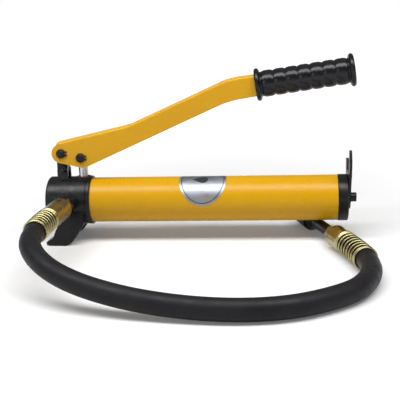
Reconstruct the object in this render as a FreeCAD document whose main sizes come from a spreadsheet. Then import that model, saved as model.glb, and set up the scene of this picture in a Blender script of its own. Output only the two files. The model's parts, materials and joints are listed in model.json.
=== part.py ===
import FreeCAD, Part
import Sketcher
import math
import os
import re
from FreeCAD import Placement, Rotation, Vector

# Hydraulic hand pump with its outlet hose.  Millimetres.
# +X runs along the reservoir from the pump head to the handle bracket, +Z is up, z = 0 is the
# floor under the feet, and the reservoir's axis lies in the plane y = 0.
# The origin is on the floor, under the middle of the pump's length.

DIMENSIONS = {
    # main proportions
    "overall_length": 375, "axis_height": 48, "head_length": 59.5, "head_inset": 6, "head_radius": 29,
    "collar_radius": 29.4, "collar_width": 5.5, "front_round": 3, "tube_length": 293,
    "tube_radius": 27, "tube_wall": 2.5, "spigot_gap": 0.15, "spigot_length": 16,
    "cap_width": 12, "cap_radius": 27.5, "plate_sheet": 3, "foot_reach": 36, "foot_width": 13,
    # swing link lever: offsets are along X from the front end of the head
    "front_pin_offset": 25.1, "front_pin_height": 107.2, "plunger_offset": 48.7,
    "rear_pin_height": 101.8, "link_foot_offset": 24.1, "link_foot_height": 85.5,
    "lever_width": 20, "lever_sheet": 3, "lobe_radius": 11.6, "pin_radius": 4,
    "pin_length": 25, "clip_sheet": 1.1, "link_width": 13, "link_eye_radius": 7,
    "link_foot_width": 10, "link_foot_radius": 6.2, "link_pin_radius": 2.8, "ear_radius": 6.4,
    "ear_sheet": 3.2, "ear_gap": 10.4,
    # plunger and its seals
    "plunger_radius": 5.5, "plunger_foot": 53.2, "bore_fit": 0.06, "gland_radius": 9.3,
    "gland_foot": 66, "gland_top": 77.3, "wiper_height": 3.5, "seal_radius": 9,
    # handle
    "grip_near": 71, "grip_near_height": 182.4, "grip_length": 113.6, "grip_slope": 7.5,
    "grip_radius": 15, "grip_flange_radius": 19, "grip_flange_width": 7, "bar_radius": 11,
    "tang_radius": 6.8, "tang_length": 26,
    # outlet and hose
    "outlet_offset": 34.75, "outlet_height": 51.5, "outlet_face": 44, "outlet_turn": 3.18,
    "port_radius": 10.5, "port_thread": 7, "nut_flats": 18.5, "nut_width": 13.5,
    "ferrule_radius": 12.8, "hose_radius": 11, "guard_radius": 13.4, "guard_bore": 11.1,
    "guard_length": 49, "tool_guard_length": 62,
    # quick coupler on the tool end of the hose: distances along its own axis
    "tool_ferrule_length": 29, "swivel_flats": 16, "swivel_end": 41, "neck_radius": 6.8,
    "neck_end": 88, "coupler_radius": 10.5, "coupler_end": 124, "nose_radius": 8,
    "nose_end": 130, "sleeve_radius": 13, "sleeve_start": 101, "sleeve_end": 118,
    "dust_cap_radius": 12.8, "dust_cap_start": 120, "dust_cap_end": 138,
    # release valve, relief valve and small fittings
    "valve_offset": 34, "spindle_radius": 4.1, "spindle_start": 12.6, "knob_start": 31, "knob_end": 44,
    "knob_radius": 12, "screw_radius": 3, "screw_head_radius": 5.5, "screw_head_height": 6.5,
    "washer_radius": 7, "tie_radius": 5, "filler_radius": 4, "filler_head_radius": 5.5,
    "filler_distance": 19.5, "filler_angle": -40, "suction_radius": 3, "suction_height": 33,
}

# The hose's route, from the face of the pump-end ferrule to the face of the tool-end ferrule.
ROUTE = [
    (-156.1, -104, 51.5), (-159.6, -167, 51.5), (-142, -207, 42), (-106, -236, 30),
    (-54, -253, 19.5), (2, -262, 13), (60, -267, 11.3), (112, -258.5, 11.7), (159.5, -226, 11.5),
    (180, -197, 12), (190, -160, 12.9), (185.5, -118, 13.6), (170, -72, 13.6),
]
ARC_SHARE = 0.45        # part of the shorter run that a bend takes up

document = FreeCAD.newDocument("hand_pump")
sheet = document.addObject("Spreadsheet::Sheet", "Dims")
for row, (alias, number) in enumerate(DIMENSIONS.items(), start=1):
    sheet.set("A%d" % row, alias)
    sheet.set("B%d" % row, str(number))
    sheet.setAlias("B%d" % row, alias)
document.recompute()

parts = []              # the finished sub-parts, in the order they are made


def dim(alias):
    """The number in the sheet under this alias."""
    return float(sheet.get(alias))


def bind(thing, path, formula):
    """Set a property from a formula in the sheet's aliases."""
    spelled = re.sub(r"[a-z_]{3,}", lambda word: "Dims." + word.group() if word.group() in DIMENSIONS
                     else word.group(), formula)
    thing.setExpression(path, spelled)


def finish(thing, label):
    thing.Label = label
    parts.append(thing)
    return thing


HEAD_FRONT = -dim("overall_length") / 2
TUBE_START = HEAD_FRONT + dim("head_length")
TUBE_END = TUBE_START + dim("tube_length")
CAP_END = TUBE_END + dim("cap_width")
PLATE_END = CAP_END + dim("plate_sheet")
AXIS = dim("axis_height")
PLUNGER_X = HEAD_FRONT + dim("plunger_offset")
FRONT_PIN = Vector(HEAD_FRONT + dim("front_pin_offset"), 0, dim("front_pin_height"))
REAR_PIN = Vector(PLUNGER_X, 0, dim("rear_pin_height"))
LINK_FOOT = Vector(HEAD_FRONT + dim("link_foot_offset"), 0, dim("link_foot_height"))
OUTLET = Vector(HEAD_FRONT + dim("outlet_offset"), -dim("outlet_face"), dim("outlet_height"))
VALVES = Vector(HEAD_FRONT + dim("valve_offset"), 0, dim("outlet_height"))

ALONG_X = Rotation()
ALONG_MINUS_Y = Rotation(Vector(0, 0, 1), -90)
ALONG_Y = Rotation(Vector(0, 0, 1), 90)
ALONG_Z = Rotation(Vector(0, 1, 0), -90)


# ---------------------------------------------------------------- sketched and turned bodies

def origin_plane(body, role):
    return next(feature for feature in body.Origin.OriginFeatures if feature.Role == role)


def sketch_outline(body, role, corners):
    """A closed outline whose corners are each held by two formulas of the sheet's aliases."""
    sketch = body.newObject("Sketcher::SketchObject", "Outline")
    sketch.AttachmentSupport = (origin_plane(body, role), [""])
    sketch.MapMode = "FlatFace"
    count = len(corners)
    places = [tuple(evaluate(formula) for formula in corner) for corner in corners]
    for here, there in zip(places, places[1:] + places[:1]):
        sketch.addGeometry(Part.LineSegment(Vector(*here, 0), Vector(*there, 0)), False)
    for line in range(count):
        sketch.addConstraint(Sketcher.Constraint("Coincident", line, 2, (line + 1) % count, 1))
    for line, corner in enumerate(corners):
        for kind, formula, number in zip(("DistanceX", "DistanceY"), corner, places[line]):
            place = sketch.addConstraint(Sketcher.Constraint(kind, -1, 1, line, 1, number))
            bind(sketch, "Constraints[%d]" % place, formula)
    return sketch


def evaluate(formula):
    """The number that a formula of the sheet's aliases gives."""
    cell = document.addObject("App::FeaturePython", "Scratch")
    cell.addProperty("App::PropertyFloat", "Number")
    bind(cell, "Number", formula)
    cell.recompute()
    number = cell.Number
    document.removeObject(cell.Name)
    return number


def turned(label, profile, base, rotation=ALONG_X):
    """A body of revolution about its own X axis; the profile's corners are (along, radius)."""
    body = document.addObject("PartDesign::Body", label)
    sketch = sketch_outline(body, "XZ_Plane", profile)
    revolution = body.newObject("PartDesign::Revolution", "Turned")
    revolution.Profile = sketch
    revolution.ReferenceAxis = (sketch, ["H_Axis"])
    revolution.Angle = 360
    body.Placement = Placement(Vector(*base), rotation)
    return finish(body, label)


def ring(label, start, end, inner, outer, base, rotation=ALONG_X):
    """A plain turned ring or sleeve."""
    profile = [(start, inner), (end, inner), (end, outer), (start, outer)]
    return turned(label, profile, base, rotation)


def shaft(label, start, end, radius, base, rotation=ALONG_X):
    """A plain turned pin."""
    return turned(label, [(start, "0"), (end, "0"), (end, radius), (start, radius)], base, rotation)


def ball(label, radius, base):
    sphere = document.addObject("Part::Sphere", label)
    sphere.Radius = radius
    sphere.Placement = Placement(Vector(*base), Rotation())
    return finish(sphere, label)


def oring(label, middle_radius, cord_radius, base, rotation=ALONG_Z):
    """An O-ring about the given direction; a torus's own axis is Z."""
    torus = document.addObject("Part::Torus", label)
    torus.Radius1 = middle_radius
    torus.Radius2 = cord_radius
    torus.Placement = Placement(Vector(*base), rotation * Rotation(Vector(0, 1, 0), 90))
    return finish(torus, label)


# ---------------------------------------------------------------- shapes made in code

def rounded_face(corners, place):
    """A face in a plane: corners are (u, v, radius), and place turns (u, v) into a point."""
    flat = [Vector(u, v, 0) for u, v, radius in corners]
    edges = []
    ends = []
    for index, corner in enumerate(flat):
        radius = corners[index][2]
        before = (flat[index - 1] - corner).normalize()
        after = (flat[(index + 1) % len(flat)] - corner).normalize()
        if radius == 0:
            ends.append((corner, None, corner))
            continue
        half = before.getAngle(after) / 2
        cut = radius / math.tan(half)
        middle = corner + (before + after).normalize() * (radius / math.sin(half) - radius)
        ends.append((corner + before * cut, middle, corner + after * cut))
    for index, (start, middle, end) in enumerate(ends):
        if middle is not None:
            edges.append(Part.Arc(place(start), place(middle), place(end)).toShape())
        following = ends[(index + 1) % len(ends)][0]
        if end.distanceToPoint(following) > 1e-6:
            edges.append(Part.LineSegment(place(end), place(following)).toShape())
    return Part.Face(Part.Wire(edges))


def side_plate(corners, low_y, high_y):
    """A plate with an outline in X and Z, between two values of y."""
    face = rounded_face(corners, lambda p: Vector(p.x, low_y, p.y))
    return face.extrude(Vector(0, high_y - low_y, 0))


def cross_plate(corners, low_x, high_x):
    """A plate with an outline in Y and Z, between two values of x."""
    face = rounded_face(corners, lambda p: Vector(low_x, p.x, p.y))
    return face.extrude(Vector(high_x - low_x, 0, 0))


def disc(centre, radius, low_y, high_y):
    """A round bar along Y through a point."""
    base = Vector(centre.x, low_y, centre.z)
    return Part.makeCylinder(radius, high_y - low_y, base, Vector(0, 1, 0))


def bar(start, end, radius):
    """A round bar between two points."""
    run = Vector(*end) - Vector(*start)
    return Part.makeCylinder(radius, run.Length, Vector(*start), run)


def hexagon(flats, start, end):
    """A hexagonal bar between two points, chamfered at its ends; a level one has flats on top."""
    start = Vector(*start)
    run = Vector(*end) - start
    corner = flats / math.sqrt(3)
    points = []
    for index in range(7):
        angle = math.radians(60 * index)
        points.append(Vector(0, corner * math.cos(angle), corner * math.sin(angle)))
    prism = Part.Face(Part.makePolygon(points)).extrude(Vector(run.Length, 0, 0))
    crown = Part.makeCylinder(corner + 0.01, run.Length, Vector(), Vector(1, 0, 0))
    rims = [edge for edge in crown.Edges if isinstance(edge.Curve, Part.Circle)]
    prism = prism.common(crown.makeChamfer(flats / 22, rims))
    prism.Placement = Placement(start, Rotation(Vector(1, 0, 0), run))
    return prism


def feature(label, shape):
    """A sub-part whose shape is made in code from the sheet's numbers."""
    thing = document.addObject("Part::Feature", label)
    thing.Shape = shape.removeSplitter()
    thing.Placement = Placement()
    return finish(thing, label)


def coil(start, end, radius, wire, turns):
    """A round-wire compression spring between two points."""
    start = Vector(*start)
    run = Vector(*end) - start
    length = run.Length - 2 * wire
    helix = Part.makeHelix(length / turns, length, radius)
    section = Part.Wire(Part.makeCircle(wire, Vector(radius, 0, 0), Vector(0, 1, 0)))
    spring = Part.Wire(helix).makePipeShell([section], True, True)
    spring.translate(Vector(0, 0, wire))
    spring.Placement = Placement(start, Rotation(Vector(0, 0, 1), run)) * spring.Placement
    return spring


# ---------------------------------------------------------------- reservoir

def make_reservoir():
    base = (TUBE_START, 0, AXIS)
    ring("reservoir_tube", "0", "tube_length", "tube_radius - tube_wall", "tube_radius", base)
    bore = "tube_radius - tube_wall - 1.8"
    for label, place in (("head_oring", TUBE_START + 6), ("cap_oring", TUBE_END - 6)):
        oring(label, evaluate(bore) + 0.1, 1.6, (place, 0, AXIS), ALONG_X)
    make_end_cap()
    make_tie_rod()
    make_bracket()
    make_filler()
    feature("suction_tube", suction_pipe())
    feature("suction_strainer", strainer())


def suction_pipe():
    height = dim("suction_height")
    front = (TUBE_START + dim("spigot_length") - 4, 0, height)
    rear = (TUBE_START + 70, 0, height)
    radius = dim("suction_radius")
    return bar(front, rear, radius).cut(bar(front, rear, radius - 1))


def strainer():
    """A cylinder of mesh with a closed end, on the end of the suction pipe."""
    height = dim("suction_height")
    start = TUBE_START + 66
    shell = bar((start, 0, height), (start + 28, 0, height), 7)
    hollow = bar((start + 2, 0, height), (start + 26, 0, height), 6)
    hole = bar((start - 1, 0, height), (start + 3, 0, height), dim("suction_radius") + 0.02)
    return shell.cut(hollow).cut(hole)


def make_end_cap():
    radius = dim("cap_radius")
    inner = dim("tube_radius") - dim("tube_wall") - dim("spigot_gap")
    body = bar((TUBE_END, 0, AXIS), (CAP_END, 0, AXIS), radius)
    body = body.makeChamfer(1.0, [e for e in body.Edges if isinstance(e.Curve, Part.Circle)])
    spigot = bar((TUBE_END - 14, 0, AXIS), (TUBE_END, 0, AXIS), inner)
    groove = bar((TUBE_END - 7.9, 0, AXIS), (TUBE_END - 4.1, 0, AXIS), inner + 1)
    groove = groove.cut(bar((TUBE_END - 8, 0, AXIS), (TUBE_END - 4, 0, AXIS), inner - 3.1))
    cap = body.fuse(spigot).cut(groove)
    cap = cap.cut(bar((TUBE_END - 15, 0, AXIS), (TUBE_END + 3, 0, AXIS), dim("tie_radius") + 0.05))
    cap = cap.cut(bar((TUBE_END, 0, AXIS), (CAP_END + 1, 0, AXIS), dim("screw_radius") + 0.2))
    y, z = filler_place()
    cap = cap.cut(bar((TUBE_END - 15, y, z), (CAP_END + 1, y, z), dim("filler_radius") + 0.05))
    feature("end_cap", cap)


def make_tie_rod():
    start = TUBE_START + 2
    end = TUBE_END + 3
    rod = bar((start, 0, AXIS), (end, 0, AXIS), dim("tie_radius"))
    rod = rod.cut(bar((end - 16, 0, AXIS), (end + 1, 0, AXIS), dim("screw_radius") + 0.02))
    feature("tie_rod", rod)
    ring("screw_washer", "0", "1", "screw_radius + 0.1", "washer_radius", (PLATE_END, 0, AXIS))
    under_head = PLATE_END + 1
    top = under_head + dim("screw_head_height")
    head = bar((under_head, 0, AXIS), (top, 0, AXIS), dim("screw_head_radius"))
    rim = [e for e in head.Edges if isinstance(e.Curve, Part.Circle) and e.Curve.Center.x > top - 1]
    head = head.makeFillet(0.8, rim)
    head = head.cut(hexagon(5, (top - 3.5, 0, AXIS), (top + 1, 0, AXIS)))
    shank = bar((under_head - 19, 0, AXIS), (under_head, 0, AXIS), dim("screw_radius"))
    feature("bracket_screw", head.fuse(shank))


def make_bracket():
    """The plate on the rear face: a round foot about the screw, and a fork for the folded grip."""
    foot = 13.5
    rest_radius = 18.5
    rest_height = 104.5
    outline = [
        (-foot, AXIS, 0), (-foot, AXIS - foot, foot - 0.01), (foot, AXIS - foot, foot - 0.01),
        (foot, AXIS, 0), (19, 66, 14), (26.5, 79, 10), (25, 90.8, 3), (10, 90.8, 0), (10, 80, 0),
        (-15, 80, 0), (-15, 107.5, 0), (-24, 107.5, 3), (-30, 95, 10), (-26, 79, 10), (-19, 66, 14),
    ]
    plate = cross_plate(outline, CAP_END, PLATE_END)
    plate = plate.cut(bar((CAP_END - 1, 0, rest_height), (PLATE_END + 1, 0, rest_height), rest_radius))
    above = Part.makeBox(9, 2 * rest_radius, 20, Vector(CAP_END - 3, -rest_radius, rest_height))
    plate = plate.cut(above)
    plate = plate.cut(bar((CAP_END - 1, 0, AXIS), (PLATE_END + 1, 0, AXIS), dim("screw_radius") + 0.2))
    feature("handle_bracket", plate)


def filler_place():
    angle = math.radians(dim("filler_angle"))
    reach = dim("filler_distance")
    return reach * math.cos(angle), AXIS + reach * math.sin(angle)


def make_filler():
    y, z = filler_place()
    ring("filler_seal", "0", "1", "filler_radius + 0.1", "filler_head_radius", (CAP_END, y, z))
    under_head = CAP_END + 1
    head = bar((under_head, y, z), (under_head + 3, y, z), dim("filler_head_radius"))
    head = head.cut(hexagon(5, (under_head + 0.8, y, z), (under_head + 4, y, z)))
    shank = bar((under_head - 12, y, z), (under_head, y, z), dim("filler_radius") - 0.03)
    feature("filler_plug", head.fuse(shank))


# ---------------------------------------------------------------- pump head

def head_casting():
    """Barrel, collar, spigot, legs, link ears and outlet boss, without the drillings."""
    radius = dim("head_radius")
    collar_start = TUBE_START - dim("collar_width")
    head_face = HEAD_FRONT + dim("head_inset")
    barrel = bar((head_face, 0, AXIS), (collar_start, 0, AXIS), radius)
    front = [e for e in barrel.Edges if isinstance(e.Curve, Part.Circle)
             and e.Curve.Center.x < head_face + 1]
    barrel = barrel.makeFillet(dim("front_round"), front)
    collar = bar((collar_start, 0, AXIS), (TUBE_START, 0, AXIS), dim("collar_radius"))
    collar = collar.makeChamfer(0.8, [e for e in collar.Edges if isinstance(e.Curve, Part.Circle)])
    inner = dim("tube_radius") - dim("tube_wall") - dim("spigot_gap")
    spigot_end = TUBE_START + dim("spigot_length")
    spigot = bar((TUBE_START - 1, 0, AXIS), (spigot_end, 0, AXIS), inner)
    groove = bar((TUBE_START + 4.1, 0, AXIS), (TUBE_START + 7.9, 0, AXIS), inner + 1)
    groove = groove.cut(bar((TUBE_START + 4, 0, AXIS), (TUBE_START + 8, 0, AXIS), inner - 3.1))
    boss = bar(along_port(-28), along_port(0), dim("port_radius"))
    knob_boss = bar(VALVES + Vector(0, 20, 0), VALVES + Vector(0, 30, 0), 9)
    gland_boss = bar((PLUNGER_X, 0, AXIS + 20), (PLUNGER_X, 0, 76.6), 11)
    casting = barrel.fuse([collar, spigot.cut(groove), legs(), boss, knob_boss, gland_boss] + ears())
    return casting


def legs():
    """Two splayed legs with hooked toes: a side outline and a front outline meet in them."""
    reach = dim("foot_reach")
    inside = reach - dim("foot_width")
    side = side_plate([
        (-174, 0, 8), (-180.6, 1.6, 0.8), (-181.2, 4.6, 0.8), (-172.3, 10, 6), (-169.6, 18, 4),
        (-166.8, 23, 2), (-172.5, 26.5, 2), (-172.5, AXIS, 0), (-136, AXIS, 0), (-136, 24, 5),
        (-142, 16, 8), (-148.5, 5.5, 8), (-156, 0, 8),
    ], -reach, reach)
    front = cross_plate([
        (-reach, 0, 0), (-inside, 0, 0), (5 - inside, 13, 8), (-8, 22, 8), (8, 22, 8),
        (inside - 5, 13, 8), (inside, 0, 0), (reach, 0, 0), (reach, 8, 4), (28, 42, 10),
        (28, AXIS, 0), (-28, AXIS, 0), (-28, 42, 10), (-reach, 8, 4),
    ], -190, -130)
    return side.common(front)


def ears():
    """The pair of ears that hold the foot of the swing link."""
    half_gap = dim("ear_gap") / 2
    outer = half_gap + dim("ear_sheet")
    radius = dim("ear_radius")
    low = AXIS + 16
    middle = LINK_FOOT + Vector(0.8, 0, 0)
    pieces = []
    for low_y, high_y in ((-outer, -half_gap), (half_gap, outer)):
        post = side_plate([
            (middle.x - radius, low, 0), (middle.x + radius, low, 0),
            (middle.x + radius, middle.z, 0), (middle.x - radius, middle.z, 0),
        ], low_y, high_y)
        pieces.append(post.fuse(disc(middle, radius, low_y, high_y)))
    return pieces


def head_drillings():
    """Every bore in the casting."""
    bore = dim("plunger_radius") + dim("bore_fit")
    spigot_end = TUBE_START + dim("spigot_length")
    suction = dim("suction_height")
    return [
        bar((PLUNGER_X, 0, 46), (PLUNGER_X, 0, 90), bore),
        bar((PLUNGER_X, 0, 61), (PLUNGER_X, 0, 67), dim("seal_radius")),
        bar((PLUNGER_X, 0, dim("gland_foot")), (PLUNGER_X, 0, 90), dim("gland_radius") + 0.02),
        bar((PLUNGER_X, 0, 36.3), (PLUNGER_X, 0, 47), 3.3),
        bar((PLUNGER_X, 0, suction), (PLUNGER_X, 0, 37), 1.8),
        bar((PLUNGER_X, 0, suction), (spigot_end + 1, 0, suction), 2),
        bar((spigot_end - 5, 0, suction), (spigot_end + 1, 0, suction), dim("suction_radius") + 0.02),
        bar((TUBE_START + 1, 0, AXIS), (spigot_end + 1, 0, AXIS), dim("tie_radius") + 0.02),
        bar(along_port(10), along_port(-16), dim("port_thread") + 0.02),
        bar(along_port(-15), along_port(-39.6), 4),
        bar(along_port(-39), along_port(-45.5), 1.5),
        bar(VALVES, (PLUNGER_X, 0, VALVES.z), 1.5),
        bar(VALVES, VALVES + Vector(0, 13, 0), 1.5),
        bar(VALVES + Vector(0, 12, 0), VALVES + Vector(0, 40, 0), dim("spindle_radius") + 0.06),
        bar(VALVES + Vector(0, 15, 0), (spigot_end + 1, 15, VALVES.z), 1.5),
        bar((HEAD_FRONT - 1, 0, VALVES.z), (-162.2, 0, VALVES.z), dim("screw_radius") + 0.04),
        bar((-163, 0, VALVES.z), VALVES, 1.2),
        link_slots(),
    ]


def link_slots():
    """The ears' slotted holes, which take up the small sideways swing of the link's foot."""
    radius = dim("link_pin_radius") + 0.5
    left = LINK_FOOT + Vector(-0.9, 0, 0)
    right = LINK_FOOT + Vector(2.6, 0, 0)
    middle = side_plate([
        (left.x, left.z - radius, 0), (right.x, left.z - radius, 0),
        (right.x, left.z + radius, 0), (left.x, left.z + radius, 0),
    ], -20, 20)
    return middle.fuse([disc(left, radius, -20, 20), disc(right, radius, -20, 20)])


def make_head():
    casting = head_casting()
    for drilling in head_drillings():
        casting = casting.cut(drilling)
    feature("pump_head", casting)
    make_glands()
    make_valves()


def make_glands():
    """Gland nut, wiper, backup ring and O-ring round the plunger, from the top down."""
    base = (PLUNGER_X, 0, 0)
    bore = "plunger_radius + bore_fit"
    recess = "gland_top - wiper_height + 0.6"
    turned("gland_nut", [
        ("gland_foot", bore), (recess, bore), (recess, "plunger_radius + 2.6"),
        ("gland_top", "plunger_radius + 2.6"), ("gland_top", "gland_radius"),
        ("gland_foot", "gland_radius"),
    ], base, ALONG_Z)
    ring("rod_wiper", recess, "gland_top + 0.6", bore, "plunger_radius + 2.5", base, ALONG_Z)
    ring("backup_ring", "64.4", "65.9", bore, "seal_radius - 0.05", base, ALONG_Z)
    oring("plunger_oring", dim("plunger_radius") + 1.68, 1.6, (PLUNGER_X, 0, 62.7))


def make_valves():
    ball("inlet_ball", 2.5, (PLUNGER_X, 0, 38.9))
    feature("inlet_spring", coil((PLUNGER_X, 0, 41.5), (PLUNGER_X, 0, 45.9), 2.5, 0.42, 3))
    ball("outlet_ball", 3, along_port(-36.5))
    feature("outlet_spring", coil(along_port(-33.4), along_port(-16.1), 3.2, 0.4, 6))
    ball("relief_ball", 2.6, (-165.3, 0, VALVES.z))
    feature("relief_spring", coil((-178, 0, VALVES.z), (-168, 0, VALVES.z), 2.4, 0.45, 5))
    front = HEAD_FRONT
    face = HEAD_FRONT + dim("head_inset")
    screw = bar((front, 0, VALVES.z), (-178.1, 0, VALVES.z), dim("screw_radius"))
    feature("relief_screw", screw.cut(hexagon(3, (front - 1, 0, VALVES.z), (front + 3, 0, VALVES.z))))
    nut = hexagon(10, (face - 3, 0, VALVES.z), (face, 0, VALVES.z))
    hole = bar((face - 4, 0, VALVES.z), (face + 1, 0, VALVES.z), dim("screw_radius") + 0.02)
    feature("relief_locknut", nut.cut(hole))
    base = tuple(VALVES)
    turned("release_spindle", [
        ("spindle_start", "0"), ("knob_start", "0"), ("knob_start", "spindle_radius"),
        ("27", "spindle_radius"), ("27", "spindle_radius - 1.6"), ("24.9", "spindle_radius - 1.6"),
        ("24.9", "spindle_radius"), ("spindle_start + 3.5", "spindle_radius"),
        ("spindle_start", "spindle_radius - 3"),
    ], base, ALONG_Y)
    oring("spindle_oring", dim("spindle_radius") - 0.8, 0.78, (VALVES.x, 25.95, VALVES.z), ALONG_Y)
    feature("release_knob", knob())


def knob():
    """A round knob with a scalloped rim."""
    radius = dim("knob_radius")
    start = Vector(VALVES.x, dim("knob_start"), VALVES.z)
    end = Vector(VALVES.x, dim("knob_end"), VALVES.z)
    body = bar(start, end, radius)
    outer = [e for e in body.Edges if isinstance(e.Curve, Part.Circle) and e.Curve.Center.y > end.y - 1]
    body = body.makeFillet(1.5, outer)
    scallops = 10
    for index in range(scallops):
        angle = 2 * math.pi * index / scallops
        reach = Vector(math.cos(angle), 0, math.sin(angle)) * (radius + 1.8)
        body = body.cut(bar(start + reach - Vector(0, 1, 0), end + reach + Vector(0, 1, 0), 3))
    return body


# ---------------------------------------------------------------- plunger, link and lever

def make_plunger():
    radius = dim("plunger_radius")
    half = dim("link_width") / 2
    rod = bar((PLUNGER_X, 0, dim("plunger_foot")), (PLUNGER_X, 0, REAR_PIN.z - 6), radius)
    foot = [e for e in rod.Edges if isinstance(e.Curve, Part.Circle) and e.Curve.Center.z < 60]
    rod = rod.makeChamfer(0.8, foot)
    eye = disc(REAR_PIN, 7, -half, half)
    shank = side_plate([
        (PLUNGER_X - radius, REAR_PIN.z - 11, 2), (PLUNGER_X + radius, REAR_PIN.z - 11, 2),
        (PLUNGER_X + radius, REAR_PIN.z, 0), (PLUNGER_X - radius, REAR_PIN.z, 0),
    ], -half, half)
    plunger = rod.fuse([eye, shank]).cut(disc(REAR_PIN, dim("pin_radius") + 0.06, -20, 20))
    feature("plunger", plunger)


def make_link():
    half = dim("link_width") / 2
    foot_half = dim("link_foot_width") / 2
    eye = dim("link_eye_radius")
    foot_eye = dim("link_foot_radius")
    along = (FRONT_PIN - LINK_FOOT).normalize()
    side = Vector(along.z, 0, -along.x)
    corners = [LINK_FOOT - side * foot_eye, LINK_FOOT + side * foot_eye,
               FRONT_PIN + side * eye, FRONT_PIN - side * eye]
    web = side_plate([(p.x, p.z, 0) for p in corners], -foot_half, foot_half)
    link = web.fuse([disc(LINK_FOOT, foot_eye, -foot_half, foot_half),
                     disc(FRONT_PIN, eye, -half, half)])
    link = link.cut(disc(FRONT_PIN, dim("pin_radius") + 0.06, -20, 20))
    link = link.cut(disc(LINK_FOOT, dim("link_pin_radius") + 0.01, -20, 20))
    feature("swing_link", link)
    reach = dim("ear_gap") / 2 + dim("ear_sheet") + 2.2
    feature("link_pin", grooved_pin(LINK_FOOT, dim("link_pin_radius"), reach))
    feature("link_pin_clips", clip_pair(LINK_FOOT, dim("link_pin_radius"), reach))


def grooved_pin(centre, radius, reach):
    """A pin along Y with a circlip groove near each end."""
    pin = disc(centre, radius, -reach, reach)
    rims = [e for e in pin.Edges if isinstance(e.Curve, Part.Circle)]
    pin = pin.makeChamfer(0.5, rims)
    for low, high in clip_planes(reach):
        pin = pin.cut(disc(centre, radius + 1, low, high).cut(disc(centre, radius - 0.5, low, high)))
    return pin


def clip_planes(reach):
    sheet_width = dim("clip_sheet")
    near = reach - 0.9
    return [(-near, sheet_width - near), (near - sheet_width, near)]


def clip_pair(centre, radius, reach):
    """Two external circlips, each with its open side and two eyed lugs towards +X."""
    clips = []
    for low, high in clip_planes(reach):
        clip = disc(centre, radius + 1.6, low, high)
        gap = Vector(centre.x + radius + 2, 0, centre.z)
        for side in (-1, 1):
            lug = gap + Vector(0, 0, 1.9 * side)
            clip = clip.fuse(disc(lug, 1.35, low, high))
        clip = clip.cut(disc(centre, radius - 0.48, low - 1, high + 1))
        slot = side_plate([
            (centre.x, centre.z - 0.8, 0), (centre.x + 12, centre.z - 0.8, 0),
            (centre.x + 12, centre.z + 0.8, 0), (centre.x, centre.z + 0.8, 0),
        ], low - 1, high + 1)
        clip = clip.cut(slot)
        for side in (-1, 1):
            clip = clip.cut(disc(gap + Vector(0, 0, 1.9 * side), 0.6, low - 1, high + 1))
        clips.append(clip)
    return Part.Compound(clips)


def lever_outline(inset):
    """The lever's side outline; the inset pulls its top edge in by the sheet's thickness."""
    slope = math.radians(dim("grip_slope"))
    half_depth = 12
    end = Vector(dim("grip_near"), 0, dim("grip_near_height"))
    across = Vector(-math.sin(slope), 0, math.cos(slope))
    top_end = end + across * (half_depth - inset)
    low_end = end - across * (half_depth + inset)
    return [
        (-167.6 - inset, 119.9 - inset, 0.8), (-79, 139.5 - inset, 70), (37, 189.6 - inset, 45),
        (52, 192.4 - inset, 40), (top_end.x + inset, top_end.z, 0), (low_end.x + inset, low_end.z, 0),
        (48, 166.8 - 2 * inset, 40), (34, 162.9 - 2 * inset, 40), (-135.6, 89.2 - 2 * inset, 9),
        (-165 - inset, 95.9 - 2 * inset, 0), (-170.3 - inset, 112.6 - inset, 0),
    ]


def make_lever():
    """A pressed channel, open below, with rounded lobes about its two pins."""
    half = dim("lever_width") / 2
    inner = half - dim("lever_sheet")
    outer = side_plate(lever_outline(0), -half, half)
    pocket = side_plate(lever_outline(dim("lever_sheet")), -inner, inner)
    ridge = [edge for edge in outer.Edges if along_ridge(edge, half)]
    outer = outer.makeFillet(dim("lever_sheet"), ridge)
    plate = outer.fuse([disc(FRONT_PIN, dim("lobe_radius"), -half, half),
                        disc(REAR_PIN, dim("lobe_radius"), -half, half)])
    lobes = [disc(FRONT_PIN, dim("lobe_radius") + 2, -inner, inner),
             disc(REAR_PIN, dim("lobe_radius") + 1, -inner, inner)]
    channel = plate.cut(pocket).cut(lobes[0].common(below_top())).cut(lobes[1].common(below_top()))
    for pin in (FRONT_PIN, REAR_PIN):
        channel = channel.cut(disc(pin, dim("pin_radius") + 0.01, -20, 20))
    feature("lever", channel)
    reach = dim("pin_length") / 2
    feature("front_pin", grooved_pin(FRONT_PIN, dim("pin_radius"), reach))
    feature("rear_pin", grooved_pin(REAR_PIN, dim("pin_radius"), reach))
    clips = [clip_pair(pin, dim("pin_radius"), reach) for pin in (FRONT_PIN, REAR_PIN)]
    feature("lever_circlips", Part.Compound([solid for pair in clips for solid in pair.Solids]))


def below_top():
    """Everything under the inner face of the lever's top."""
    return side_plate([(-190, 80, 0), (-100, 80, 0), (-100, 131, 0), (-190, 111.5, 0)], -20, 20)


def along_ridge(edge, half):
    """Whether an edge is one of the two long upper edges of the lever."""
    middle = edge.valueAt((edge.FirstParameter + edge.LastParameter) / 2)
    if abs(abs(middle.y) - half) > 0.01 or edge.Length < 1:
        return False
    tops = [(-167.6, 119.9), (-79, 139.5), (37, 189.6), (52, 192.4), (70, 194.5)]
    for (x0, z0), (x1, z1) in zip(tops, tops[1:]):
        if x0 - 1 <= middle.x <= x1 + 1:
            height = z0 + (z1 - z0) * (middle.x - x0) / (x1 - x0)
            if abs(middle.z - height) < 3 and edge.Length > 3:
                return True
    return False


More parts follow.
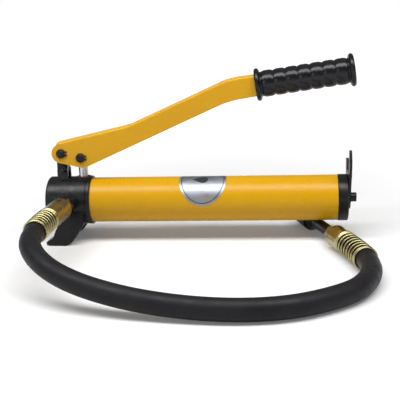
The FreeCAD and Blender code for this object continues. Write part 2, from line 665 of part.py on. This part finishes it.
def make_handle():
    slope = dim("grip_slope")
    tilt = Rotation(Vector(0, 1, 0), -slope)
    base = Vector(dim("grip_near"), 0, dim("grip_near_height"))
    turned("handle_bar", [
        ("-tang_length", "0"), ("grip_length - 5", "0"), ("grip_length - 5", "bar_radius"),
        ("1", "bar_radius"), ("1", "tang_radius"), ("-tang_length", "tang_radius"),
    ], base, tilt)
    turned("handle_grip", [
        ("0.5", "bar_radius + 0.02"), ("grip_length - 4.9", "bar_radius + 0.02"),
        ("grip_length - 4.9", "0"), ("grip_length", "0"), ("grip_length", "grip_flange_radius - 2"),
        ("grip_length - 2", "grip_flange_radius"),
        ("grip_length - grip_flange_width", "grip_flange_radius"),
        ("grip_length - grip_flange_width - 2", "grip_radius"),
        ("grip_flange_width + 2", "grip_radius"), ("grip_flange_width", "grip_flange_radius"),
        ("2.5", "grip_flange_radius"), ("0.5", "grip_flange_radius - 2"),
    ], base, tilt)


# ---------------------------------------------------------------- outlet, hose and coupler

def along_port(distance):
    """A point on the outlet's axis, at a distance outwards from its face."""
    turn = math.radians(dim("outlet_turn"))
    return OUTLET + Vector(-math.sin(turn), -math.cos(turn), 0) * distance


def make_outlet():
    nut_start = 0.3
    nut_end = nut_start + dim("nut_width")
    nut = hexagon(dim("nut_flats"), along_port(nut_start), along_port(nut_end))
    thread = bar(along_port(-15.8), along_port(nut_start), dim("port_thread"))
    stem = bar(along_port(nut_end), along_port(nut_end + 12), 6)
    bore = bar(along_port(-20), along_port(90), 3)
    feature("outlet_nipple", nut.fuse([thread, stem]).cut(bore))
    end = Vector(*ROUTE[0])
    radius = dim("ferrule_radius")
    ferrule = bar(along_port(nut_end), end, radius)
    rims = [edge for edge in ferrule.Edges if isinstance(edge.Curve, Part.Circle)]
    ferrule = ferrule.makeChamfer(0.8, rims)
    ferrule = ferrule.cut(bar(along_port(0), along_port(nut_end + 12.2), 6.02))
    feature("pump_end_ferrule", ferrule.cut(bar(along_port(0), along_port(59), 3)))


def hose_edges():
    """Straight runs joined by tangent arcs through the route, with each arc's radius."""
    points = [Vector(*place) for place in ROUTE]
    edges = []
    radii = []
    here = points[0]
    for before, corner, after in zip(points, points[1:], points[2:]):
        back = (before - corner).normalize()
        ahead = (after - corner).normalize()
        turn = math.pi - back.getAngle(ahead)
        cut = ARC_SHARE * min(before.distanceToPoint(corner), corner.distanceToPoint(after))
        radius = cut / math.tan(turn / 2)
        reach = radius / math.cos(turn / 2) - radius
        middle = corner + (back + ahead).normalize() * reach
        start = corner + back * cut
        end = corner + ahead * cut
        edges.append(Part.LineSegment(here, start).toShape())
        edges.append(Part.Arc(start, middle, end).toShape())
        radii.append(radius)
        here = end
    edges.append(Part.LineSegment(here, points[-1]).toShape())
    return edges, radii


def swept_tube(edges, radius):
    """A round bar along a path of runs and arcs."""
    path = Part.Wire(edges)
    start = edges[0].valueAt(edges[0].FirstParameter)
    along = edges[0].tangentAt(edges[0].FirstParameter)
    section = Part.Wire(Part.makeCircle(radius, start, along))
    return path.makePipeShell([section], True, False)


def stretch(edges, length, from_end):
    """The part of a path within a length of one of its ends."""
    kept = []
    left = length
    for edge in reversed(edges) if from_end else edges:
        first, last = edge.FirstParameter, edge.LastParameter
        if edge.Length >= left:
            if from_end:
                cut = edge.getParameterByLength(edge.Length - left)
                kept.append(edge.Curve.toShape(cut, last))
            else:
                cut = edge.getParameterByLength(left)
                kept.append(edge.Curve.toShape(first, cut))
            break
        kept.append(edge)
        left -= edge.Length
    return kept[::-1] if from_end else kept


def make_hose():
    edges, radii = hose_edges()
    length = sum(edge.Length for edge in edges)
    hose = swept_tube(edges, dim("hose_radius"))
    expected = math.pi * dim("hose_radius") ** 2 * length
    print("hose length %.1f, radii %s" % (length, ["%.0f" % radius for radius in radii]))
    print("hose volume / (section x length) = %.4f" % (hose.Volume / expected))
    feature("hose", hose)
    guards = (("pump_end_guard", "guard_length", False), ("tool_end_guard", "tool_guard_length", True))
    for label, reach, from_end in guards:
        run = stretch(edges, dim(reach), from_end)
        sleeve = swept_tube(run, dim("guard_radius")).cut(swept_tube(run, dim("guard_bore")))
        feature(label, sleeve)


def tool_place():
    """Where the tool end's own axis starts, and its direction."""
    end = Vector(*ROUTE[-1])
    run = end - Vector(*ROUTE[-2])
    return end, Rotation(Vector(1, 0, 0), run)


def along_tool(distance, aside=0, up=0):
    end, turn = tool_place()
    return end + turn.multVec(Vector(distance, aside, up))


def make_coupler():
    base, turn = tool_place()
    turned("tool_end_ferrule", [
        ("0", "0"), ("tool_ferrule_length - 12", "0"), ("tool_ferrule_length - 12", "6.02"),
        ("tool_ferrule_length", "6.02"), ("tool_ferrule_length", "ferrule_radius - 1"),
        ("tool_ferrule_length - 1", "ferrule_radius"), ("0.8", "ferrule_radius"),
        ("0", "ferrule_radius - 0.8"),
    ], base, turn)
    start = along_tool(dim("tool_ferrule_length"))
    nut = hexagon(dim("swivel_flats"), start, along_tool(dim("swivel_end")))
    stem = bar(along_tool(dim("tool_ferrule_length") - 11.8), start, 6)
    feature("swivel_nut", nut.fuse(stem))
    turned("coupler_body", [
        ("swivel_end", "0"), ("nose_end", "0"), ("nose_end", "nose_radius - 1"),
        ("nose_end - 1", "nose_radius"), ("coupler_end - 5", "nose_radius"),
        ("coupler_end - 5", "coupler_radius"), ("neck_end + 9", "coupler_radius"),
        ("neck_end", "neck_radius"), ("swivel_end", "neck_radius"),
    ], base, turn)
    turned("coupler_sleeve", [
        ("sleeve_start", "coupler_radius + 0.08"), ("sleeve_end", "coupler_radius + 0.08"),
        ("sleeve_end", "sleeve_radius - 0.8"), ("sleeve_end - 0.8", "sleeve_radius"),
        ("sleeve_start + 8", "sleeve_radius"), ("sleeve_start + 7", "sleeve_radius - 0.8"),
        ("sleeve_start + 5", "sleeve_radius - 0.8"), ("sleeve_start + 4", "sleeve_radius"),
        ("sleeve_start + 0.8", "sleeve_radius"), ("sleeve_start", "sleeve_radius - 0.8"),
    ], base, turn)
    turned("dust_cap", [
        ("nose_end + 0.5", "0"), ("dust_cap_end", "0"), ("dust_cap_end", "dust_cap_radius - 3"),
        ("dust_cap_end - 3", "dust_cap_radius"), ("dust_cap_start", "dust_cap_radius"),
        ("dust_cap_start", "nose_radius + 0.08"), ("nose_end + 0.5", "nose_radius + 0.08"),
    ], base, turn)


# ---------------------------------------------------------------- make, check and write

def check():
    document.recompute()
    for thing in document.Objects:
        faults = {"Invalid", "Error"} & set(thing.State)
        if faults:
            raise RuntimeError("%s: %s" % (thing.Name, thing.State))
    for part in parts:
        shape = part.Shape
        if shape.isNull() or not shape.isValid():
            raise RuntimeError("bad shape: " + part.Label)


def write():
    os.makedirs("parts", exist_ok=True)
    for part in parts:
        part.Shape.exportStep("parts/%s.step" % part.Label)
        box = part.Shape.BoundBox
        print("%-20s solids %d  x %.1f..%.1f  y %.1f..%.1f  z %.1f..%.1f" % (
            part.Label, len(part.Shape.Solids), box.XMin, box.XMax, box.YMin, box.YMax,
            box.ZMin, box.ZMax))


make_reservoir()
make_head()
make_plunger()
make_link()
make_lever()
make_handle()
make_outlet()
make_hose()
make_coupler()
check()
write()
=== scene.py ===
import bpy
import json
import math
from mathutils import Matrix, Vector


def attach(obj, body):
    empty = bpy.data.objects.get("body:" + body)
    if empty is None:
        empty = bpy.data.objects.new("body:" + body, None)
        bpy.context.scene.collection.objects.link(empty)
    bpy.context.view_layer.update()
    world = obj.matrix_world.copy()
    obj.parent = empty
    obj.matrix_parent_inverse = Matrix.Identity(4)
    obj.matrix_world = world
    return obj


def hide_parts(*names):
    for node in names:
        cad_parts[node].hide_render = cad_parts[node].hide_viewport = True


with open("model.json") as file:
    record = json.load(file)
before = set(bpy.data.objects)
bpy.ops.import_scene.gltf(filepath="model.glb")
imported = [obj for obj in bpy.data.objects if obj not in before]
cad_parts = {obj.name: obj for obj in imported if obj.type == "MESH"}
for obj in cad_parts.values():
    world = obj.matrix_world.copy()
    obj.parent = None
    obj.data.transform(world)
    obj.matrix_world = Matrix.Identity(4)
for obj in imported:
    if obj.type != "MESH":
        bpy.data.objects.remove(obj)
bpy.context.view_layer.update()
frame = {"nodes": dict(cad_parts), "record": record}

nodes = frame["nodes"]


# ---------------------------------------------------------------- camera

def make_camera():
    """The photograph's view; the roll stands for the pump's own small tilt in the photograph."""
    place = (0.09963, -0.93076, 0.27943)
    look = Vector((-0.10142, 0.96498, -0.24192)).normalized()
    roll = math.radians(2.0147)
    level = look.cross(Vector((0, 0, 1))).normalized()
    upright = level.cross(look)
    right = level * math.cos(roll) - upright * math.sin(roll)
    up = level * math.sin(roll) + upright * math.cos(roll)
    camera = bpy.data.objects.new("camera", bpy.data.cameras.new("camera"))
    bpy.context.scene.collection.objects.link(camera)
    camera.data.lens = 72
    camera.data.sensor_width = 36
    turn = Matrix((right, up, -look)).transposed()
    camera.matrix_world = Matrix.Translation(place) @ turn.to_4x4()
    bpy.context.scene.camera = camera


# ---------------------------------------------------------------- materials

def set_stops(ramp, stops):
    """Give a colour ramp its stops, each a position and a colour or a grey level."""
    elements = ramp.color_ramp.elements
    while len(elements) < len(stops):
        elements.new(0.5)
    for element, (position, colour) in zip(elements, stops):
        if not isinstance(colour, tuple):
            colour = (colour, colour, colour)
        element.position = position
        element.color = (*colour, 1)


class Surface:
    """A node material. stretched, noise and ramp return a socket; drive and bump use one."""

    def __init__(self, name, colour, roughness, metallic=0.0):
        self.material = bpy.data.materials.new(name)
        self.material.use_nodes = True
        self.nodes = self.material.node_tree.nodes
        self.links = self.material.node_tree.links
        self.shader = self.nodes["Principled BSDF"]
        self.set("Base Color", (*colour, 1))
        self.set("Roughness", roughness)
        self.set("Metallic", metallic)
        self.place = self.nodes.new("ShaderNodeTexCoord").outputs["Object"]

    def set(self, socket, value):
        self.shader.inputs[socket].default_value = value

    def stretched(self, scale):
        mapping = self.nodes.new("ShaderNodeMapping")
        mapping.inputs["Scale"].default_value = scale
        self.links.new(self.place, mapping.inputs["Vector"])
        return mapping.outputs["Vector"]

    def noise(self, scale, detail, where=None):
        texture = self.nodes.new("ShaderNodeTexNoise")
        texture.inputs["Scale"].default_value = scale
        texture.inputs["Detail"].default_value = detail
        self.links.new(where or self.place, texture.inputs["Vector"])
        return texture.outputs["Fac"]

    def ramp(self, value, *stops):
        ramp = self.nodes.new("ShaderNodeValToRGB")
        set_stops(ramp, stops)
        self.links.new(value, ramp.inputs["Fac"])
        return ramp.outputs["Color"]

    def drive(self, socket, value):
        self.links.new(value, self.shader.inputs[socket])

    def bump(self, height, distance, strength):
        bump = self.nodes.new("ShaderNodeBump")
        bump.inputs["Distance"].default_value = distance
        bump.inputs["Strength"].default_value = strength
        self.links.new(height, bump.inputs["Height"])
        previous = self.shader.inputs["Normal"].links
        if previous:
            self.links.new(previous[0].from_socket, bump.inputs["Normal"])
        self.links.new(bump.outputs["Normal"], self.shader.inputs["Normal"])


def yellow_paint():
    paint = Surface("paint_yellow", (0.46, 0.225, 0.001), 0.32)
    paint.set("Specular IOR Level", 0.22)
    drift = paint.noise(9, 3)
    deep, light = (0.44, 0.222, 0.0004), (0.48, 0.252, 0.001)
    paint.drive("Base Color", paint.ramp(drift, (0.3, deep), (0.7, light)))
    paint.bump(paint.noise(420, 2), 0.00008, 0.35)
    paint.drive("Roughness", paint.ramp(paint.noise(60, 3), (0.3, 0.24), (0.7, 0.36)))
    return paint.material


def cast_black():
    cast = Surface("cast_black", (0.005, 0.005, 0.006), 0.3)
    cast.set("Specular IOR Level", 0.24)
    cast.bump(cast.noise(260, 4), 0.0003, 0.4)
    cast.bump(cast.noise(45, 3), 0.0006, 0.3)
    cast.drive("Roughness", cast.ramp(cast.noise(90, 4), (0.3, 0.24), (0.7, 0.42)))
    return cast.material


def black_paint():
    paint = Surface("paint_black", (0.010, 0.011, 0.011), 0.38)
    paint.set("Specular IOR Level", 0.22)
    paint.bump(paint.noise(350, 3), 0.0002, 0.4)
    paint.drive("Roughness", paint.ramp(paint.noise(70, 4), (0.3, 0.30), (0.7, 0.46)))
    return paint.material


def plated(name, low, high, roughness, coarse=55):
    """A metal that drifts between two colours; coarse is the scale of the drift."""
    metal = Surface(name, high, roughness, 1.0)
    tint = metal.noise(coarse, 5)
    metal.drive("Base Color", metal.ramp(tint, (0.35, low), (0.65, high)))
    grain = metal.noise(900, 2)
    metal.bump(grain, 0.00005, 0.5)
    metal.drive("Roughness", metal.ramp(
        metal.noise(140, 3), (0.3, roughness - 0.06), (0.7, roughness + 0.08)))
    return metal.material


def turned_steel():
    steel = Surface("bright_steel", (0.45, 0.46, 0.46), 0.16, 1.0)
    rings = steel.noise(300, 2, steel.stretched((0.05, 0.05, 4)))
    steel.bump(rings, 0.00004, 0.6)
    steel.drive("Roughness", steel.ramp(rings, (0.3, 0.12), (0.7, 0.24)))
    return steel.material


def hose_rubber():
    rubber = Surface("hose_rubber", (0.014, 0.014, 0.016), 0.5)
    rubber.set("Specular IOR Level", 0.16)
    rubber.drive("Base Color", rubber.ramp(
        rubber.noise(34, 5), (0.3, (0.006, 0.006, 0.007)), (0.72, (0.011, 0.011, 0.013))))
    rubber.bump(rubber.noise(800, 3), 0.00012, 0.5)
    rubber.bump(rubber.noise(30, 2), 0.0004, 0.25)
    rubber.drive("Roughness", rubber.ramp(rubber.noise(120, 3), (0.3, 0.40), (0.7, 0.58)))
    return rubber.material


def moulded(name, colour, roughness, grain=0.00012):
    vinyl = Surface(name, colour, roughness)
    vinyl.set("Specular IOR Level", 0.25)
    vinyl.bump(vinyl.noise(700, 3), grain, 0.5)
    vinyl.drive("Roughness", vinyl.ramp(
        vinyl.noise(80, 4), (0.3, roughness - 0.05), (0.7, roughness + 0.07)))
    return vinyl.material


def brass_mesh():
    brass = Surface("brass_mesh", (0.6, 0.42, 0.15), 0.35, 1.0)
    wave = brass.nodes.new("ShaderNodeTexWave")
    wave.inputs["Scale"].default_value = 600
    brass.links.new(brass.place, wave.inputs["Vector"])
    brass.bump(wave.outputs["Fac"], 0.0003, 0.8)
    return brass.material


def make_materials():
    """The record's material slots, and two label materials that have no slot."""
    return {
        "paint_yellow": yellow_paint(),
        "cast_black": cast_black(),
        "paint_black": black_paint(),
        "black_oxide": plated("black_oxide", (0.018, 0.018, 0.020), (0.035, 0.035, 0.038), 0.36),
        "bright_steel": turned_steel(),
        "zinc_yellow": plated("zinc_yellow", (0.30, 0.26, 0.12), (0.50, 0.45, 0.23), 0.3),
        "zinc_silver": plated("zinc_silver", (0.42, 0.44, 0.38), (0.62, 0.64, 0.60), 0.28),
        "spring_steel": plated("spring_steel", (0.32, 0.32, 0.31), (0.5, 0.5, 0.49), 0.3),
        "hose_rubber": hose_rubber(),
        "grip_rubber": moulded("grip_rubber", (0.005, 0.005, 0.006), 0.2, 0.00005),
        "seal_rubber": moulded("seal_rubber", (0.015, 0.015, 0.016), 0.5),
        "seal_white": moulded("seal_white", (0.8, 0.8, 0.77), 0.4),
        "wiper_red": moulded("wiper_red", (0.13, 0.04, 0.025), 0.5),
        "knob_black": moulded("knob_black", (0.010, 0.010, 0.011), 0.42),
        "brass_mesh": brass_mesh(),
        "label_ink": moulded("label_ink", (0.02, 0.021, 0.024), 0.45),
        "label_silver": plated("label_silver", (0.26, 0.28, 0.32), (0.34, 0.36, 0.40), 0.45, 30),
    }


def paint_nodes():
    """Give every CAD node the material of its record slot."""
    for part in frame["record"]["subparts"]:
        thing = nodes[part["node"]]
        thing.data.materials.clear()
        thing.data.materials.append(materials[part["material_slot"]])


# ---------------------------------------------------------------- mesh helpers

def add_mesh(name, verts, faces, slot, body):
    mesh = bpy.data.meshes.new(name)
    mesh.from_pydata([tuple(v) for v in verts], [], faces)
    mesh.update()
    mesh.polygons.foreach_set("use_smooth", [True] * len(mesh.polygons))
    piece = bpy.data.objects.new(name, mesh)
    bpy.context.scene.collection.objects.link(piece)
    mesh.materials.append(materials[slot])
    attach(piece, body)
    return piece


def join_rings(first, second, columns):
    """The faces between two rings of vertices, given each ring's first vertex."""
    faces = []
    for column in range(columns):
        nxt = (column + 1) % columns
        faces.append((first + column, first + nxt, second + nxt, second + column))
    return faces


def join_rows(rows, columns):
    """The faces of a tube whose rings of vertices follow each other from vertex 0."""
    faces = []
    for row in range(rows - 1):
        faces += join_rings(row * columns, (row + 1) * columns, columns)
    return faces


def tube(name, path, radius, slot, body):
    """A round wire along a path of points, with blunt pointed ends."""
    sides = 10
    nearly_parallel = 0.1
    point_length = radius * 0.5
    verts = []
    up = Vector((0, 0, 1))
    count = len(path)
    for index, point in enumerate(path):
        ahead = (path[min(index + 1, count - 1)] - path[max(index - 1, 0)]).normalized()
        side = ahead.cross(up)
        if side.length < nearly_parallel:
            side = ahead.cross(Vector((1, 0, 0)))
        side.normalize()
        up = side.cross(ahead)
        for k in range(sides):
            angle = 2 * math.pi * k / sides
            verts.append(point + (side * math.cos(angle) + up * math.sin(angle)) * radius)
    faces = join_rows(count, sides)
    start_tip, end_tip = len(verts), len(verts) + 1
    verts.append(path[0] + (path[0] - path[1]).normalized() * point_length)
    verts.append(path[-1] + (path[-1] - path[-2]).normalized() * point_length)
    last_ring = (count - 1) * sides
    for k in range(sides):
        nxt = (k + 1) % sides
        faces.append((start_tip, nxt, k))
        faces.append((end_tip, last_ring + k, last_ring + nxt))
    return add_mesh(name, verts, faces, slot, body)


# ---------------------------------------------------------------- hose and its spring guards

# The hose's route, the same as part.py's: from the pump's ferrule to the tool's.
ROUTE = [
    (-0.1561, -0.104, 0.0515), (-0.1596, -0.167, 0.0515), (-0.142, -0.207, 0.042),
    (-0.106, -0.236, 0.030), (-0.054, -0.253, 0.0195), (0.002, -0.262, 0.013),
    (0.060, -0.267, 0.0113), (0.112, -0.2585, 0.0117), (0.1595, -0.226, 0.0115),
    (0.180, -0.197, 0.012), (0.190, -0.160, 0.0129), (0.1855, -0.118, 0.0136),
    (0.170, -0.072, 0.0136),
]
HOSE_RADIUS = 0.011


def make_hose():
    """The hose as a curve, and its centre line as a list of points."""
    curve = bpy.data.curves.new("rubber_hose", "CURVE")
    curve.dimensions = "3D"
    spline = curve.splines.new("NURBS")
    spline.points.add(len(ROUTE) - 1)
    for point, place in zip(spline.points, ROUTE):
        point.co = (*place, 1)
    spline.order_u = 3
    spline.use_endpoint_u = True
    spline.resolution_u = 24
    hose = bpy.data.objects.new("rubber_hose", curve)
    bpy.context.scene.collection.objects.link(hose)
    line = bpy.data.meshes.new_from_object(hose)
    path = [v.co.copy() for v in line.vertices]
    curve.bevel_depth = HOSE_RADIUS
    curve.bevel_resolution = 10
    curve.use_fill_caps = True
    curve.materials.append(materials["hose_rubber"])
    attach(hose, "pump")
    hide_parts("hose")
    return hose, path


def along(path, distance):
    """A point on the path at a distance from its start, with the direction there."""
    left = distance
    for here, there in zip(path, path[1:]):
        run = (there - here).length
        if left <= run:
            return here.lerp(there, left / run), (there - here).normalized()
        left -= run
    return path[-1], (path[-1] - path[-2]).normalized()


def make_guard(name, path, length, turns, node):
    """A round-wire coil over the hose's end, close-wound at both ends."""
    wire = 0.00115
    radius = HOSE_RADIUS + wire
    steps_per_turn = 40
    closed_turns = 1.25
    closed_pitch = 2.1 * wire
    total = turns + 2 * closed_turns
    open_start = wire + closed_pitch * closed_turns
    points = []
    up = Vector((0, 0, 1))
    for index in range(int(total * steps_per_turn) + 1):
        turn = index / steps_per_turn
        if turn < closed_turns:
            distance = wire + closed_pitch * turn
        elif turn > total - closed_turns:
            distance = length - wire - closed_pitch * (total - turn)
        else:
            share = (turn - closed_turns) / turns
            distance = open_start + (length - 2 * open_start) * share
        centre, ahead = along(path, distance)
        side = ahead.cross(up).normalized()
        lift = side.cross(ahead)
        angle = 2 * math.pi * turn
        points.append(centre + (side * math.cos(angle) + lift * math.sin(angle)) * radius)
    coil = tube(name, points, wire, "zinc_yellow", "pump")
    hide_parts(node)
    return coil


# ---------------------------------------------------------------- grip

def flange_radius(reach):
    """The grip's radius at a distance from one of its ends, or None beyond the flange and its neck."""
    width, neck_width = 0.0055, 0.0012
    foot, height, neck = 0.0150, 0.0040, 0.0146
    middle = width / 2
    half_width = middle + 0.0006
    if reach >= width + neck_width:
        return None
    inside = 1 - ((reach - middle) / half_width) ** 2
    return foot + height * math.sqrt(inside) if inside > 0 else neck


def bead_radius(share, angle):
    """The grip's radius at a share of one bead's length, with shallow dimples around the crest."""
    root, height, fullness = 0.0133, 0.0022, 0.96
    dimples, dimple_depth, dimple_half_length = 8, 0.00025, 0.12
    bead = math.sqrt(1 - (2 * share - 1) ** 2 * fullness)
    swell = 0.5 + 0.5 * math.cos(angle * dimples)
    dimple = max(0.0, 1 - abs(share - 0.5) / dimple_half_length) * dimple_depth * swell
    return root + height * bead - dimple


def make_grip():
    """A moulded grip: seven round beads between two rolled flanges."""
    base = Vector((0.071, 0, 0.1824))
    slope = math.radians(7.5)
    ahead = Vector((math.cos(slope), 0, math.sin(slope)))
    lift = Vector((-math.sin(slope), 0, math.cos(slope)))
    aside = Vector((0, 1, 0))
    length, end_margin = 0.1136, 0.0075
    beads = 7
    pitch = (length - 2 * end_margin) / beads
    columns, stations = 144, 330
    mouth_rings = ((0.0006, 0.0118), (0.004, 0.0112))
    end_rings = ((0.0, 0.0125), (-0.0008, 0.0115), (-0.0008, 0.004))
    verts = []

    def skin(distance, angle):
        flange = flange_radius(distance) or flange_radius(length - distance)
        return flange or bead_radius(((distance - end_margin) / pitch) % 1, angle)

    def add_ring(distance, reach=None):
        """Add a ring with a given radius, or on the skin, and return its first vertex."""
        start = len(verts)
        for column in range(columns):
            angle = 2 * math.pi * column / columns
            out = aside * math.cos(angle) + lift * math.sin(angle)
            verts.append(base + ahead * distance + out * (reach or skin(distance, angle)))
        return start

    for station in range(stations + 1):
        last = add_ring(length * station / stations)
    faces = join_rows(stations + 1, columns)
    outer = 0
    for distance, reach in mouth_rings:
        inner = add_ring(distance, reach)
        faces += join_rings(inner, outer, columns)
        outer = inner
    for depth, reach in end_rings:
        smaller = add_ring(length + depth, reach)
        faces += join_rings(last, smaller, columns)
        last = smaller
    faces.append(tuple(range(last, last + columns)))
    grip = add_mesh("moulded_grip", verts, faces, "grip_rubber", "lever")
    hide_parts("handle_grip")


# ---------------------------------------------------------------- label

def make_label():
    """A plain silver disc on the reservoir, with a ring and a drop."""
    tube_axis_z, radius = 0.048, 0.02706
    middle_x = 0.007
    middle = math.radians(90 + 22)
    half_x, half_round = 0.028, 0.035
    disc_points, drop_points, patch_rings = 96, 64, 9
    ink_lift = 0.00006
    ring_shares = (0.885, 0.915)
    drop_radius, drop_tail, drop_pinch, drop_shift = 0.0065, 0.006, 0.75, -0.001

    def place(u, v, lift):
        """A point of the label: u along the tube and v around it, from the label's middle."""
        angle = middle + v / radius
        reach = radius + lift
        return Vector((middle_x + u, reach * math.cos(angle), tube_axis_z + reach * math.sin(angle)))

    def patch(name, outline, slot, lift):
        """A filled outline, made of rings around its middle."""
        count = len(outline)
        verts = [place(0, 0, lift)]
        for ring in range(1, patch_rings + 1):
            share = ring / patch_rings
            verts += [place(u * share, v * share, lift) for u, v in outline]
        faces = [(0, 1 + (k + 1) % count, 1 + k) for k in range(count)]
        for ring in range(patch_rings - 1):
            faces += join_rings(1 + ring * count, 1 + (ring + 1) * count, count)
        add_mesh(name, verts, faces, slot, "pump")

    def turns(count):
        return [2 * math.pi * k / count for k in range(count)]

    disc = [(half_x * math.cos(angle), half_round * math.sin(angle)) for angle in turns(disc_points)]
    patch("label", disc, "label_silver", 0.0)
    drop = []
    for angle in turns(drop_points):
        pull = max(0.0, math.cos(angle)) ** 3
        drop.append((-drop_radius * math.cos(angle) - drop_tail * pull,
                     drop_shift + drop_radius * math.sin(angle) * (1 - drop_pinch * pull)))
    patch("label_drop", drop, "label_ink", ink_lift)
    band = []
    for share in ring_shares:
        band += [place(u * share, v * share, ink_lift) for u, v in disc]
    add_mesh("label_ring", band, join_rows(2, disc_points), "label_ink", "pump")


# ---------------------------------------------------------------- stage

def make_stage():
    """A pale floor that glows further out, so that its edge melts into the white world."""
    half = 9
    corners = [(-half, -half, 0), (half, -half, 0), (half, half, 0), (-half, half, 0)]
    mesh = bpy.data.meshes.new("floor")
    mesh.from_pydata(corners, [], [(0, 1, 2, 3)])
    floor = bpy.data.objects.new("floor", mesh)
    bpy.context.scene.collection.objects.link(floor)
    pale = Surface("floor", (0.62, 0.62, 0.62), 0.9)
    pale.set("Specular IOR Level", 0.1)
    distance = pale.nodes.new("ShaderNodeVectorMath")
    distance.operation = "LENGTH"
    pale.links.new(pale.place, distance.inputs[0])
    pale.set("Emission Strength", 1.0)
    pale.drive("Emission Color", pale.ramp(distance.outputs["Value"], (0.30, 0.10), (1.0, 0.85)))
    mesh.materials.append(pale.material)
    make_world()
    add_light("overhead", (0.0, -0.42, 1.15), (0.0, -0.02, 0.05), 2.2, 0.5, 31)
    add_light("front", (-0.9, -1.5, 0.7), (0, 0, 0.08), 0.6, 0.6, 3)
    bpy.context.scene.view_settings.view_transform = "Standard"


def make_world():
    """White at the horizon, dim above it, and a little brighter overhead."""
    world = bpy.data.worlds.new("studio")
    world.use_nodes = True
    graph = world.node_tree
    place = graph.nodes.new("ShaderNodeTexCoord").outputs["Generated"]
    axes = graph.nodes.new("ShaderNodeSeparateXYZ")
    graph.links.new(place, axes.inputs[0])
    ramp = graph.nodes.new("ShaderNodeValToRGB")
    graph.links.new(axes.outputs["Z"], ramp.inputs["Fac"])
    set_stops(ramp, ((0.0, 1.0), (0.10, 1.0), (0.18, 0.16), (0.6, 0.2), (1.0, 0.4)))
    graph.links.new(ramp.outputs["Color"], graph.nodes["Background"].inputs["Color"])
    bpy.context.scene.world = world


def add_light(name, place, target, width, height, power):
    """A rectangular area light that faces a target."""
    light = bpy.data.lights.new(name, "AREA")
    light.shape = "RECTANGLE"
    light.size = width
    light.size_y = height
    light.energy = power
    lamp = bpy.data.objects.new(name, light)
    bpy.context.scene.collection.objects.link(lamp)
    lamp.location = place
    lamp.rotation_euler = (Vector(target) - Vector(place)).to_track_quat("-Z", "Y").to_euler()


make_camera()
materials = make_materials()
hose, hose_path = make_hose()
paint_nodes()
pump_guard = make_guard("pump_end_spring", hose_path, 0.047, 6, "pump_end_guard")
tool_guard = make_guard("tool_end_spring", hose_path[::-1], 0.060, 7, "tool_end_guard")
make_grip()
make_label()
make_stage()
